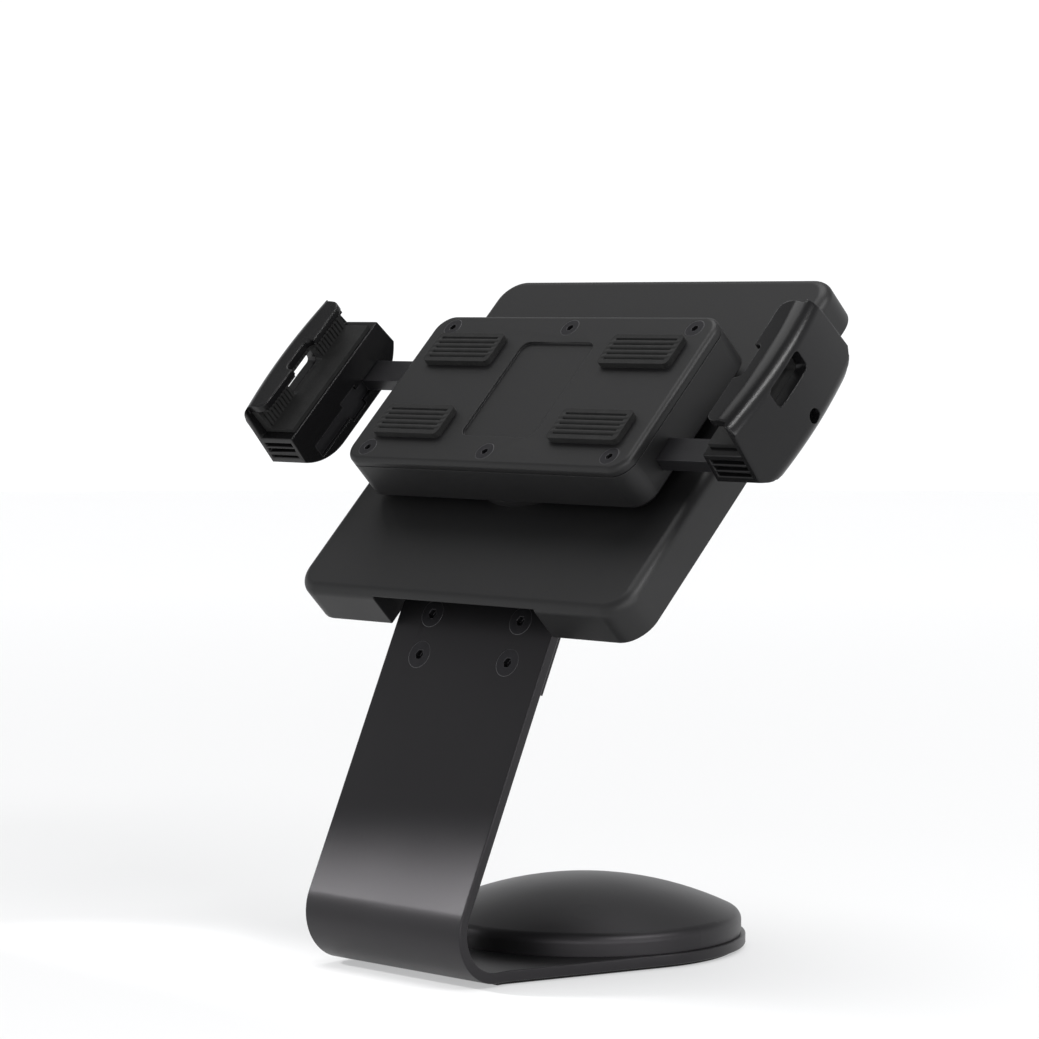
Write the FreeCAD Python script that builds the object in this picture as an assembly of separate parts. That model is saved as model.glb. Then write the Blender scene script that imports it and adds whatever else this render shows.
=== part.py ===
import FreeCAD, Part
import math
import os
from FreeCAD import Placement, Rotation, Vector

# Counter stand with a clamping holder, in millimetres. X is to the right, Y to the back, Z up.
# The origin is on the counter, below the centre of the round base.
# The neck frame leans back with the neck. The holder frame leans back with the held device:
# u is to the right, v up the device, and depths are measured back from the device's face.

# Base: pad, steel plate with its bend, and neck
pad_t = 1.0              # non-slip pad under the plate
pad_inset = 2.5          # the pad stays this far inside the plate's edge
plate_t = 3.0            # steel plate of the base and the neck
base_radius = 45.2       # round part of the base plate
bend_radius = 14.0       # outside of the bend between base and neck
bend_y = 64.5            # centre of the bend, in front of the base's centre
flare_start = 4.5        # the plate's sides start to flare this far behind the bend
neck_w = 60.0            # width of the neck
neck_lean = 25.0         # degrees back from vertical
neck_corner = 6.0        # rounded corners at the neck's top
neck_len = 94.3          # from the bend to the tilt axis, along the neck

# Base: dome cover and ballast
dome_inset = 1.2         # the cover stands this far inside the plate's edge
dome_band = 3.6          # height of the cover's straight band
dome_cap_radius = 99.0   # the dome is part of a ball of this radius
dome_corner = 3.0        # rounding between band and dome
dome_wall = 2.0
dome_gap = 0.4           # least room between ballast and cover
ballast_inset = 3.0      # ballast inside the cover's wall
ballast_t = 5.0
ballast_top_t = 3.5      # smaller second step of the ballast
base_screw_in = 7.0      # screws this far inside the ballast's edge
base_screw_r = 2.0
base_screw_grip = 3.0    # thread length in the cover
boss_wall = 2.2          # plastic round a screw hole

# Tilt hinge at the top of the neck
pivot_out = 0.8          # tilt axis in front of the neck's front face
axle_r = 2.5
bush_wall = 0.9
barrel_wall = 1.0
barrel_inset = 1.5       # barrel ends inside the neck's edges
bush_len = 8.0
bush_flange_t = 1.5
washer_t = 1.0           # steel friction washer at each end of the barrel
spring_washer_t = 1.4
axle_head_t = 3.0
nut_t = 4.0
thread_end = 1.0         # bolt ends stand this far past their nuts
run_gap = 0.05           # running clearance of an axle in its bush, on the radius
block_t = 4.5            # hinge block behind the neck
block_inset = 4.0        # block's ends inside the neck's edges
block_len = 26.0         # part of the block that lies on the neck
block_gap = 0.4          # between the neck's end and the barrel
block_screw_r = 2.0
block_screw_in = 9.0     # screws inside the block's ends
block_screw_low = 6.0    # lower screws above the block's lower edge
block_screw_high = 8.0   # upper screws below the neck's top
block_screw_tip = 1.0    # screws end this far inside the block

# Gripped device and the holder's stack, from front to back
tilt = 45.0              # holder's angle back from vertical
device_half = 89.25      # half width of the gripped device
device_t = 6.2           # clear height between the pads
slide_gap = 0.1          # running gap of flat sliding faces
frame_pad_t = 1.8
frame_cover_t = 3.0
rail_t = 4.8             # rails on the cover, in front of the arms
arm_t = 4.0
pinion_t = 3.8
pinion_gap = 0.3
swivel_plate_t = 2.0
frame_floor = 2.0
ring_t = 2.0             # slide ring between frame and head
head_floor = 1.7
hub_t = 3.0
swivel_flange_t = 1.3
wave_washer_t = 1.2
swivel_nut_t = 3.2
nut_room = 0.5
cover_t = 1.7

# Tilt head: shallow box behind the holder
pivot_drop = 46.0        # tilt axis below the holder's centre, along the device
barrel_room = 0.3        # between barrel and the head's front wall
head_half_u = 63.5
head_half_v = 61.6
head_corner = 8.5
head_edge = 3.0          # rounding round its front face
head_wall = 2.4
fit_gap = 0.15           # loose fit of a cover in its box
channel_gap = 0.7        # room round the hinge block in the head's channel
channel_wall = 3.0
head_screw_in = 9.5      # cover screws inside the head's edges
head_screw_r = 1.5
head_screw_len = 7.0
rib_t = 1.6

# Swivel between the head and the holder's frame
swivel_bolt_r = 5.0
swivel_thread_r = 4.0
swivel_bush_wall = 2.0
hub_wall = 5.0           # thick round place in the head's front wall
swivel_flange_w = 3.0
swivel_nut_r = 7.2
swivel_plate_r = 9.0     # flange of the swivel bolt, inside the frame
stop_ring = 20.0         # the stop pin stands on this circle
stop_pin_r = 2.0
stop_gap = 0.3
ring_land = 1.2          # between the pin's slot and the slide ring
ring_w = 4.0
swivel_range = 90.0      # degrees to each side

# Racks and pinion that keep both jaws centred
module = 1.5
tooth_count = 14
pressure = 20.0          # degrees
backlash = 0.3
arm_web = 5.0            # solid part of an arm behind its teeth
jaw_open = 20.0          # travel outwards from the photographed place
jaw_close = 24.0         # travel inwards
mesh_reach = 7.0         # teeth left beyond the pinion's centre at each end of travel
end_room = 0.5
pinion_pin_r = 4.0
clip_t = 0.8
clip_w = 2.0
clip_groove = 0.6
rail_w = 1.5
rail_margin = 0.6        # rails inside the solid part of an arm

# Frame of the holder
screw_band = 11.2        # frame outside the arms, where its screws are
frame_corner = 6.0
frame_wall = 2.5
frame_edge = 1.5
frame_screw_in_u = 7.5
frame_screw_in_v = 4.9
frame_screw_r = 1.5
frame_screw_grip = 6.0
post_wall = 1.3
frame_pad_in_u = 7.0     # pads inside the frame's edges
frame_pad_in_v = 9.0
frame_pad_w = 26.0
frame_pad_h = 11.0
panel_half_u = 14.0      # shallow recess in the middle of the cover
panel_half_v = 18.0
panel_corner = 3.0
panel_depth = 0.8

# Jaws
side_pad_t = 2.65        # rubber between the device's edge and the jaw
jaw_wall = 4.1           # at the jaw's middle
jaw_bow = 130.0          # radius of the bowed outer face, seen from the front
jaw_mid = 1.3            # middle of both jaws above the holder's centre
lip_cover = 4.6          # the lip covers this much of the device's face
lip_front = 4.2          # lip in front of the device, at its outer edge
lip_front_inner = 2.9
lip_pad_t = 0.9
lip_corner = 3.0
lip_half_v = 21.4
rear_pad_t = 1.2
jaw_floor = 3.1          # jaw behind the arm
jaw_half_v = 24.65       # at the jaw's back
jaw_front_half_v = 22.7  # the jaw is a little shorter at its front
jaw_side_corner = 5.0    # rounding between outer face and back face
jaw_flat_half_v = 10.0   # flat part of the back, on each side of its middle
jaw_end_bow = 19.5       # rounding of the back towards top and bottom
jaw_lip_edge = 5.0       # rounding between lip and outer face
liner_half_v = 21.0
liner_step = 0.8         # liner ends this far short of the jaw's edges
window_v = 0.1           # middle of the window above the jaw's middle
window_len = 15.2
window_front = 0.5
window_corner = 1.4
window_relief = 0.25     # the window also takes this much of the liner's rear part
notch_v = 0.1            # middle of the notch in the lip
notch_len = 11.9
notch_cut = 2.8
notch_corner = 2.0
end_skin = 1.8           # jaw between the liner and the pockets in its ends
end_pocket_room = 1.1    # between these pockets and the arm
end_pocket_in = 1.5      # they begin this far from the jaw's inner end
end_pocket_deep = 2.6
end_rib_t = 0.8
tee_w = 9.0              # cross piece at the outer end of each arm
tee_end = 7.0            # from the cross piece to the jaw's outer face
cut_past = 3.0           # what is cut from a jaw reaches this far past it
tee_inset = 1.0
boss_half = 3.6          # block on the cross piece for the lock screw
boss_t = 7.0
lock_v = 1.8             # lock screw above the jaw's middle
lock_r = 2.0
lock_recess = 3.5
lock_len = 5.5
lock_socket_r = 1.15
jaw_screw_low = 7.0      # lower screw below the holder's centre
jaw_screw_high = 10.5    # upper screw above it
jaw_screw_r = 1.5
jaw_screw_tip = 1.2      # screws end this far inside the arm

# Places that follow from the sizes
plate_top = pad_t + plate_t
bend_z = pad_t + bend_radius
neck_back = bend_radius - plate_t
pivot_off = bend_radius + pivot_out
barrel_r = axle_r + bush_wall + barrel_wall
barrel_half = neck_w / 2 - barrel_inset
block_half = neck_w / 2 - block_inset
block_back = neck_back - block_t
neck_top = neck_len - barrel_r - block_gap
block_screw_len = plate_t + block_t - block_screw_tip
dome_radius = base_radius - dome_inset
ballast_radius = dome_radius - dome_wall - ballast_inset
base_screw_ring = ballast_radius - base_screw_in
base_screw_len = plate_t + ballast_t + base_screw_grip

rack_addendum = 0.8 * module
rack_dedendum = 1.2 * module
pinion_addendum = 0.87 * module
pinion_dedendum = 1.07 * module
pitch_r = module * tooth_count / 2
arm_edge = pitch_r + rack_dedendum + arm_web
arm_tail = jaw_open + mesh_reach
rack_end = jaw_close + mesh_reach

frame_front = device_t + frame_pad_t
frame_split = frame_front + frame_cover_t
arm_front = frame_split + rail_t
arm_back = arm_front + arm_t
arm_depth = (arm_front + arm_back) / 2
pinion_front = arm_depth - pinion_t / 2
pinion_back = arm_depth + pinion_t / 2
plate_front = pinion_back + pinion_gap
frame_inside = plate_front + swivel_plate_t
frame_back = frame_inside + frame_floor
head_front = frame_back + ring_t
head_inside = head_front + head_floor
hub_back = head_inside + hub_t
flange_back = hub_back + swivel_flange_t
washer_back = flange_back + wave_washer_t
nut_back = washer_back + swivel_nut_t
pivot_depth = head_inside + barrel_room + barrel_r
cover_front = max(nut_back + nut_room, pivot_depth + barrel_r + slide_gap)
head_back = cover_front + cover_t

channel_half = barrel_half + bush_flange_t + washer_t
ear_out = channel_half + channel_wall
channel_end = -pivot_drop + (pivot_off - block_back) + channel_gap
swivel_bush_r = swivel_bolt_r + swivel_bush_wall
swivel_flange_r = swivel_bush_r + swivel_flange_w
hub_r = swivel_bush_r + hub_wall
ring_inner = stop_ring + stop_pin_r + stop_gap + ring_land
ring_outer = ring_inner + ring_w

frame_half_u = arm_tail + jaw_close + end_room + frame_wall
frame_half_v = arm_edge + screw_band
frame_screw_u = frame_half_u - frame_screw_in_u
frame_screw_v = frame_half_v - frame_screw_in_v
frame_pad_u = frame_half_u - frame_pad_in_u - frame_pad_w / 2
frame_pad_v = frame_half_v - frame_pad_in_v - frame_pad_h / 2
guide_v = arm_edge + slide_gap
slot_v = pitch_r - rack_addendum - slide_gap
rail_in = pitch_r + rack_dedendum + rail_margin
rail_out = arm_edge - rail_margin - rail_w

wall_in = device_half + side_pad_t
jaw_face = wall_in + jaw_wall
lip_reach = device_half - lip_cover
rear_front = device_t + rear_pad_t
jaw_back = arm_back + slide_gap + jaw_floor
tee_outer = jaw_face - tee_end
tee_inner = tee_outer - tee_w
jaw_inner = tee_inner - tee_inset
window_depth = device_t + 0.2
end_pocket_front = rear_front + end_skin
end_pocket_back = arm_front - slide_gap - end_pocket_room
jaw_screw_len = jaw_back - arm_front - jaw_screw_tip
jaw_screw_u = (tee_inner + tee_outer) / 2
jaw_screw_levels = (-jaw_screw_low, jaw_screw_high)
jaw_cut = jaw_inner - 5.0

# Frames
neck_frame = Placement(Vector(0, -bend_y, bend_z), Rotation(Vector(1, 0, 0), 90 - neck_lean))
pivot = neck_frame.multVec(Vector(0, neck_len, pivot_off))
tilt_turn = Rotation(Vector(1, 0, 0), 90 - tilt)
holder_origin = pivot + tilt_turn.multVec(Vector(0, pivot_drop, pivot_depth))
holder_frame = Placement(holder_origin, tilt_turn)
flipped = Rotation(Vector(1, 0, 0), 180)
upright = Rotation()


def prism(points, direction):
    """Extrude a closed outline of points."""
    wire = Part.makePolygon(points + [points[0]])
    return Part.Face(wire).extrude(direction)


def rounded_outline(half_u, half_v, corner, mid_u=0.0, mid_v=0.0):
    """Outline of a rectangle with rounded corners, in the XY plane."""
    edges = []
    quarter = math.pi / 2
    centres = [(half_u - corner, half_v - corner), (corner - half_u, half_v - corner),
               (corner - half_u, corner - half_v), (half_u - corner, corner - half_v)]
    ends = []
    for turn, (cu, cv) in enumerate(centres):
        centre = Vector(mid_u + cu, mid_v + cv, 0)
        start = turn * quarter
        points = [centre + Vector(math.cos(start + step), math.sin(start + step), 0) * corner
                  for step in (0, quarter / 2, quarter)]
        edges.append(Part.Arc(*points).toShape())
        ends.append((points[0], points[2]))
    for turn in range(4):
        first = ends[turn][1]
        second = ends[(turn + 1) % 4][0]
        if first.distanceToPoint(second) > 1e-6:
            edges.append(Part.LineSegment(first, second).toShape())
    return Part.Wire(Part.__sortEdges__(edges))


def plate_uvn(half_u, half_v, corner, front, back, mid_u=0.0, mid_v=0.0):
    """Plate with rounded corners in the holder frame, between two depths."""
    face = Part.Face(rounded_outline(half_u, half_v, corner, mid_u, mid_v))
    face.translate(Vector(0, 0, -back))
    return face.extrude(Vector(0, 0, back - front))


def box_uvn(u0, u1, v0, v1, front, back):
    """Box in the holder frame, between two depths."""
    return Part.makeBox(u1 - u0, v1 - v0, back - front, Vector(u0, v0, -back))


def rod_n(u, v, front, back, radius):
    """Cylinder square to the held device, between two depths."""
    return Part.makeCylinder(radius, back - front, Vector(u, v, -back))


def rod_x(x0, x1, y, z, radius):
    """Cylinder along X in any frame."""
    return Part.makeCylinder(radius, x1 - x0, Vector(x0, y, z), Vector(1, 0, 0))


def hexagon(radius, turn=0.0):
    """Corners of a hexagon about the origin, as pairs."""
    angles = [math.radians(60 * k + turn) for k in range(6)]
    return [(radius * math.cos(a), radius * math.sin(a)) for a in angles]


def countersunk(radius, length):
    """Countersunk screw with a hexagon socket: head at the origin, shank towards -Z."""
    head_r = 2 * radius
    cone = Part.makeCone(head_r, radius, radius, Vector(0, 0, 0), Vector(0, 0, -1))
    shank = Part.makeCylinder(radius, length, Vector(0, 0, 0), Vector(0, 0, -1))
    socket = prism([Vector(a, b, 0) for a, b in hexagon(0.75 * radius)], Vector(0, 0, -0.8 * radius))
    return cone.fuse(shank).removeSplitter().cut(socket)


def sunk_hole(radius, length):
    """Hole for a countersunk screw, the same size as the screw's outside."""
    cone = Part.makeCone(2 * radius, radius, radius, Vector(0, 0, 0), Vector(0, 0, -1))
    return cone.fuse(Part.makeCylinder(radius, length, Vector(0, 0, 0), Vector(0, 0, -1)))


def placed(shape, placement):
    """Copy of a shape, moved and turned."""
    return shape.transformed(placement.toMatrix())


def held(shape):
    """Copy of a shape, moved from the holder frame to its place."""
    return placed(shape, holder_frame)


def union(shapes):
    """One solid from several that touch or overlap."""
    if len(shapes) == 1:
        return shapes[0]
    return shapes[0].multiFuse(shapes[1:]).removeSplitter()


# Base
def foot_outline(radius, half_w, front_y, z):
    """Plan of the base plate: sides flare from the neck's width to the round part."""
    flare_y = bend_y - flare_start
    reach = math.hypot(half_w, flare_y)
    side = math.atan2(-flare_y, half_w) + math.acos(radius / reach)
    touch = Vector(radius * math.cos(side), radius * math.sin(side), z)
    mirror = Vector(-touch.x, touch.y, z)
    points = [mirror, Vector(-half_w, -flare_y, z), Vector(-half_w, -front_y, z),
              Vector(half_w, -front_y, z), Vector(half_w, -flare_y, z), touch]
    edges = [Part.LineSegment(a, b).toShape() for a, b in zip(points, points[1:])]
    edges.append(Part.Arc(touch, Vector(0, radius, z), mirror).toShape())
    return Part.Face(Part.Wire(edges))


def base_screw_places():
    """Places of the four screws that hold the dome cover and the ballast."""
    angles = [math.radians(a) for a in (45, 135, 225, 315)]
    return [(base_screw_ring * math.cos(a), base_screw_ring * math.sin(a)) for a in angles]


def block_screw_places():
    """Places of the four screws that hold the hinge block, in the neck frame."""
    x = block_half - block_screw_in
    levels = (neck_top - block_len + block_screw_low, neck_top - block_screw_high)
    return [(side * x, s) for side in (-1, 1) for s in levels]


def bend_section():
    """The bend, from the base plate's front edge round to the foot of the neck."""
    def at(radius, degrees):
        angle = math.radians(degrees)
        return Vector(-neck_w / 2, -bend_y + radius * math.cos(angle), bend_z + radius * math.sin(angle))
    last = 180 - neck_lean
    middle = (270 + last) / 2
    edges = [Part.Arc(at(bend_radius, 270), at(bend_radius, middle), at(bend_radius, last)).toShape(),
             Part.LineSegment(at(bend_radius, last), at(neck_back, last)).toShape(),
             Part.Arc(at(neck_back, last), at(neck_back, middle), at(neck_back, 270)).toShape(),
             Part.LineSegment(at(neck_back, 270), at(bend_radius, 270)).toShape()]
    return Part.Face(Part.Wire(edges)).extrude(Vector(neck_w, 0, 0))


def make_base_neck():
    foot = foot_outline(base_radius, neck_w / 2, bend_y, pad_t).extrude(Vector(0, 0, plate_t))
    sheet = Part.makeBox(neck_w, neck_top, plate_t, Vector(-neck_w / 2, 0, neck_back))
    corners = [edge for edge in sheet.Edges
               if abs(edge.CenterOfMass.y - neck_top) < 1e-6
               and abs(abs(edge.CenterOfMass.x) - neck_w / 2) < 1e-6]
    sheet = placed(sheet.makeFillet(neck_corner, corners), neck_frame)
    solid = union([foot, bend_section(), sheet])
    for x, y in base_screw_places():
        solid = solid.cut(placed(sunk_hole(base_screw_r, base_screw_len), Placement(Vector(x, y, pad_t), flipped)))
    for x, s in block_screw_places():
        hole = placed(sunk_hole(block_screw_r, block_screw_len), Placement(Vector(x, s, bend_radius), upright))
        solid = solid.cut(placed(hole, neck_frame))
    return solid


def make_base_pad():
    outline = foot_outline(base_radius - pad_inset, neck_w / 2 - pad_inset, bend_y - pad_inset, 0)
    return outline.extrude(Vector(0, 0, pad_t))


def make_base_screws():
    screw = countersunk(base_screw_r, base_screw_len)
    return [placed(screw, Placement(Vector(x, y, pad_t), flipped)) for x, y in base_screw_places()]


def dome_body(radius, cap_radius, corner):
    """Turned solid: straight band, rounded shoulder and shallow dome."""
    shoulder = Vector(radius - corner, 0, plate_top + dome_band)
    cap_drop = math.sqrt((cap_radius - corner) ** 2 - (radius - corner) ** 2)
    cap_centre = Vector(0, 0, shoulder.z - cap_drop)
    outward = (shoulder - cap_centre).normalize()
    middle_way = (outward + Vector(1, 0, 0)).normalize()
    bottom = Vector(0, 0, plate_top)
    side = Vector(radius, 0, plate_top)
    band_top = Vector(radius, 0, shoulder.z)
    cap_edge = shoulder + outward * corner
    lean = math.asin(outward.x) / 2
    cap_middle = cap_centre + Vector(math.sin(lean), 0, math.cos(lean)) * cap_radius
    top = cap_centre + Vector(0, 0, cap_radius)
    edges = [Part.LineSegment(bottom, side).toShape(),
             Part.LineSegment(side, band_top).toShape(),
             Part.Arc(band_top, shoulder + middle_way * corner, cap_edge).toShape(),
             Part.Arc(cap_edge, cap_middle, top).toShape(),
             Part.LineSegment(top, bottom).toShape()]
    return Part.Face(Part.Wire(edges)).revolve(Vector(0, 0, 0), Vector(0, 0, 1), 360)


def dome_room(depth):
    """The space inside the dome's outer skin, a given depth below it."""
    return dome_body(dome_radius - depth, dome_cap_radius - depth, max(dome_corner - depth, 0.2))


def make_ballast():
    ballast_top = Vector(0, 0, plate_top + ballast_t)
    low = Part.makeCylinder(ballast_radius, ballast_t, Vector(0, 0, plate_top))
    high = Part.makeCylinder(base_screw_ring - base_screw_in, ballast_top_t, ballast_top)
    solid = union([low, high]).common(dome_room(dome_wall + dome_gap))
    for x, y in base_screw_places():
        solid = solid.cut(Part.makeCylinder(base_screw_r, ballast_t, Vector(x, y, plate_top)))
    return solid


def make_dome_cover():
    outer = dome_room(0)
    shell = outer.cut(dome_room(dome_wall))
    bosses = []
    for x, y in base_screw_places():
        post = Part.makeCylinder(base_screw_r + boss_wall, dome_radius, Vector(x, y, plate_top + ballast_t))
        bosses.append(post.common(outer))
    shell = union([shell] + bosses)
    for x, y in base_screw_places():
        hole = Part.makeCylinder(base_screw_r, base_screw_grip, Vector(x, y, plate_top + ballast_t))
        shell = shell.cut(hole)
    return shell


# Tilt hinge
def bush_starts():
    """Where the two bushes start along X: left, then right."""
    return (-barrel_half, barrel_half - bush_len)


def neck_rod(x0, x1, radius):
    """Cylinder on the tilt axis, in the neck frame."""
    return rod_x(x0, x1, neck_len, pivot_off, radius)


def make_hinge_block():
    saddle = Part.makeBox(2 * block_half, block_len, block_t, Vector(-block_half, neck_top - block_len, block_back))
    web_t = pivot_off - block_back
    web = Part.makeBox(2 * block_half, neck_len - neck_top, web_t, Vector(-block_half, neck_top, block_back))
    solid = union([saddle, web, neck_rod(-barrel_half, barrel_half, barrel_r)])
    solid = solid.cut(neck_rod(-barrel_half, barrel_half, axle_r + run_gap))
    for start in bush_starts():
        solid = solid.cut(neck_rod(start, start + bush_len, axle_r + bush_wall))
    for x, s in block_screw_places():
        hole = Part.makeCylinder(block_screw_r, block_screw_len, Vector(x, s, bend_radius - block_screw_len))
        solid = solid.cut(hole)
    return placed(solid, neck_frame)


def make_block_screws():
    screw = countersunk(block_screw_r, block_screw_len)
    return [placed(placed(screw, Placement(Vector(x, s, bend_radius), upright)), neck_frame)
            for x, s in block_screw_places()]


def make_tilt_bushes():
    bushes = []
    for side, start in zip((-1, 1), bush_starts()):
        flange_start = barrel_half if side > 0 else -barrel_half - bush_flange_t
        sleeve = neck_rod(start, start + bush_len, axle_r + bush_wall)
        flange = neck_rod(flange_start, flange_start + bush_flange_t, barrel_r)
        first = min(start, flange_start)
        bore = neck_rod(first, first + bush_len + bush_flange_t, axle_r + run_gap)
        bushes.append(placed(union([sleeve, flange]).cut(bore), neck_frame))
    return bushes


def axle_rod(x0, x1, radius):
    """Cylinder on the tilt axis, in the stand's frame."""
    return rod_x(x0, x1, pivot.y, pivot.z, radius)


def axle_hexagon(x, radius, length):
    """Hexagonal prism on the tilt axis; its corners point along the holder."""
    points = [Vector(x, pivot.y + a, pivot.z + b) for a, b in hexagon(radius, 90 - tilt)]
    return prism(points, Vector(length, 0, 0))


def axle_ring(x, length):
    return axle_rod(x, x + length, barrel_r).cut(axle_rod(x, x + length, axle_r))


def make_tilt_axle():
    shank = axle_rod(-ear_out, ear_out + spring_washer_t + nut_t + thread_end, axle_r)
    head = axle_rod(-ear_out - axle_head_t, -ear_out, barrel_r)
    socket = axle_hexagon(-ear_out - axle_head_t, 0.55 * barrel_r, 0.7 * axle_head_t)
    return union([shank, head]).cut(socket)


def make_tilt_washers():
    return [axle_ring(-channel_half, washer_t), axle_ring(channel_half - washer_t, washer_t)]


def make_tilt_spring_washers():
    half = spring_washer_t / 2
    return [axle_ring(ear_out, half), axle_ring(ear_out + half, half)]


def make_tilt_nut():
    start = ear_out + spring_washer_t
    return axle_hexagon(start, barrel_r, nut_t).cut(axle_rod(start, start + nut_t, axle_r))


# Tilt head
def head_screw_places():
    """Six screws round the head's back cover."""
    u = head_half_u - head_screw_in
    v = head_half_v - head_screw_in
    return [(side * u, level) for side in (-1, 1) for level in (-v, 0, v)]


def stop_arc(front, back):
    """Curved slot in which the stop pin travels while the holder swivels."""
    outer = stop_ring + stop_pin_r + stop_gap
    inner = stop_ring - stop_pin_r - stop_gap
    wedge = Part.makeCylinder(outer, back - front, Vector(0, 0, -back), Vector(0, 0, 1), 2 * swivel_range)
    wedge.rotate(Vector(0, 0, 0), Vector(0, 0, 1), 90 - swivel_range)
    slot = [wedge.cut(rod_n(0, 0, front, back, inner))]
    for degrees in (90 - swivel_range, 90 + swivel_range):
        angle = math.radians(degrees)
        u = stop_ring * math.cos(angle)
        v = stop_ring * math.sin(angle)
        slot.append(rod_n(u, v, front, back, stop_pin_r + stop_gap))
    return union(slot)


def channel_box(half, top, front, back):
    """Open channel from the head's bottom edge up to a given height."""
    return box_uvn(-half, half, -head_half_v - 1, top, front, back)


def head_hole(u, v):
    """Countersunk hole for a screw through the head's back cover."""
    return placed(sunk_hole(head_screw_r, cover_t), Placement(Vector(u, v, -head_back), flipped))


def make_head_tray():
    block = plate_uvn(head_half_u, head_half_v, head_corner, head_front, head_back)
    rim = [edge for edge in block.Edges if abs(edge.BoundBox.ZMin + head_front) < 1e-6]
    block = block.makeFillet(head_edge, rim)
    inner_u = head_half_u - head_wall
    inner_v = head_half_v - head_wall
    cavity = plate_uvn(inner_u, inner_v, head_corner - head_wall, head_inside, head_back)
    tray = block.cut(cavity)
    posts = [rod_n(u, v, head_inside, cover_front, head_screw_r + boss_wall) for u, v in head_screw_places()]
    hub = rod_n(0, 0, head_inside, hub_back, hub_r)
    ears = channel_box(ear_out, channel_end + channel_wall, head_inside, head_back).common(block)
    ribs = []
    for side in (-1, 1):
        u0, u1 = sorted((side * ear_out, side * (ear_out - rib_t)))
        ribs.append(box_uvn(u0, u1, channel_end, inner_v, head_inside, hub_back))
        u0, u1 = sorted((side * ear_out, side * inner_u))
        ribs.append(box_uvn(u0, u1, -rib_t / 2, rib_t / 2, head_inside, hub_back))
    tray = union([tray, hub, ears] + posts + ribs)
    tray = tray.cut(channel_box(channel_half, channel_end, head_inside, head_back))
    tray = tray.cut(rod_n(0, 0, head_front, hub_back, swivel_bush_r))
    tray = tray.cut(stop_arc(head_front, head_inside))
    tray = tray.cut(rod_x(-ear_out, ear_out, -pivot_drop, -pivot_depth, axle_r))
    for u, v in head_screw_places():
        tray = tray.cut(rod_n(u, v, head_back - head_screw_len, cover_front, head_screw_r))
    return held(tray)


def make_head_cover():
    half_u = head_half_u - head_wall - fit_gap
    half_v = head_half_v - head_wall - fit_gap
    sheet = plate_uvn(half_u, half_v, head_corner - head_wall - fit_gap, cover_front, head_back)
    sheet = sheet.cut(channel_box(ear_out + fit_gap, channel_end + channel_wall + fit_gap, cover_front, head_back))
    for u, v in head_screw_places():
        sheet = sheet.cut(head_hole(u, v))
    return held(sheet)


def make_head_screws():
    screw = countersunk(head_screw_r, head_screw_len)
    return [held(placed(screw, Placement(Vector(u, v, -head_back), flipped))) for u, v in head_screw_places()]


# Swivel
def make_swivel_bush():
    sleeve = rod_n(0, 0, head_front, hub_back, swivel_bush_r)
    flange = rod_n(0, 0, hub_back, flange_back, swivel_flange_r)
    bore = rod_n(0, 0, head_front, flange_back, swivel_bolt_r + run_gap)
    return held(union([sleeve, flange]).cut(bore))


def make_swivel_ring():
    ring = rod_n(0, 0, frame_back, head_front, ring_outer)
    return held(ring.cut(rod_n(0, 0, frame_back, head_front, ring_inner)))


clip_back = pinion_front - slide_gap
clip_front = clip_back - clip_t


def make_swivel_bolt():
    spigot = rod_n(0, 0, clip_front - 0.5, plate_front, pinion_pin_r)
    plate = rod_n(0, 0, plate_front, frame_inside, swivel_plate_r)
    shoulder = rod_n(0, 0, frame_inside, flange_back, swivel_bolt_r)
    thread = rod_n(0, 0, flange_back, nut_back, swivel_thread_r)
    groove = rod_n(0, 0, clip_front, clip_back, pinion_pin_r)
    groove = groove.cut(rod_n(0, 0, clip_front, clip_back, pinion_pin_r - clip_groove))
    return held(union([spigot, plate, shoulder, thread]).cut(groove))


def make_pinion_clip():
    ring = rod_n(0, 0, clip_front, clip_back, pinion_pin_r + clip_w)
    ring = ring.cut(rod_n(0, 0, clip_front, clip_back, pinion_pin_r - clip_groove))
    opening = 0.4 * pinion_pin_r
    return held(ring.cut(box_uvn(-opening, opening, 0, pinion_pin_r + clip_w + 1, clip_front, clip_back)))


def make_wave_washer():
    ring = rod_n(0, 0, flange_back, washer_back, swivel_flange_r)
    return held(ring.cut(rod_n(0, 0, flange_back, washer_back, swivel_thread_r)))


def make_swivel_nut():
    nut = prism([Vector(a, b, -nut_back) for a, b in hexagon(swivel_nut_r)], Vector(0, 0, swivel_nut_t))
    return held(nut.cut(rod_n(0, 0, washer_back, nut_back, swivel_thread_r)))


def make_stop_pin():
    return held(rod_n(0, stop_ring, frame_inside, head_inside, stop_pin_r))


# Frame
def frame_screw_places():
    """Six screws round the frame's front cover."""
    return [(u, side * frame_screw_v) for side in (-1, 1) for u in (-frame_screw_u, 0, frame_screw_u)]


def rails(front, back):
    """Rails along the frame that carry both arms."""
    strips = []
    reach = frame_half_u - frame_wall
    for side in (-1, 1):
        for inner in (rail_in, rail_out):
            v0, v1 = sorted((side * inner, side * (inner + rail_w)))
            strips.append(box_uvn(-reach, reach, v0, v1, front, back))
    return strips


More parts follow.
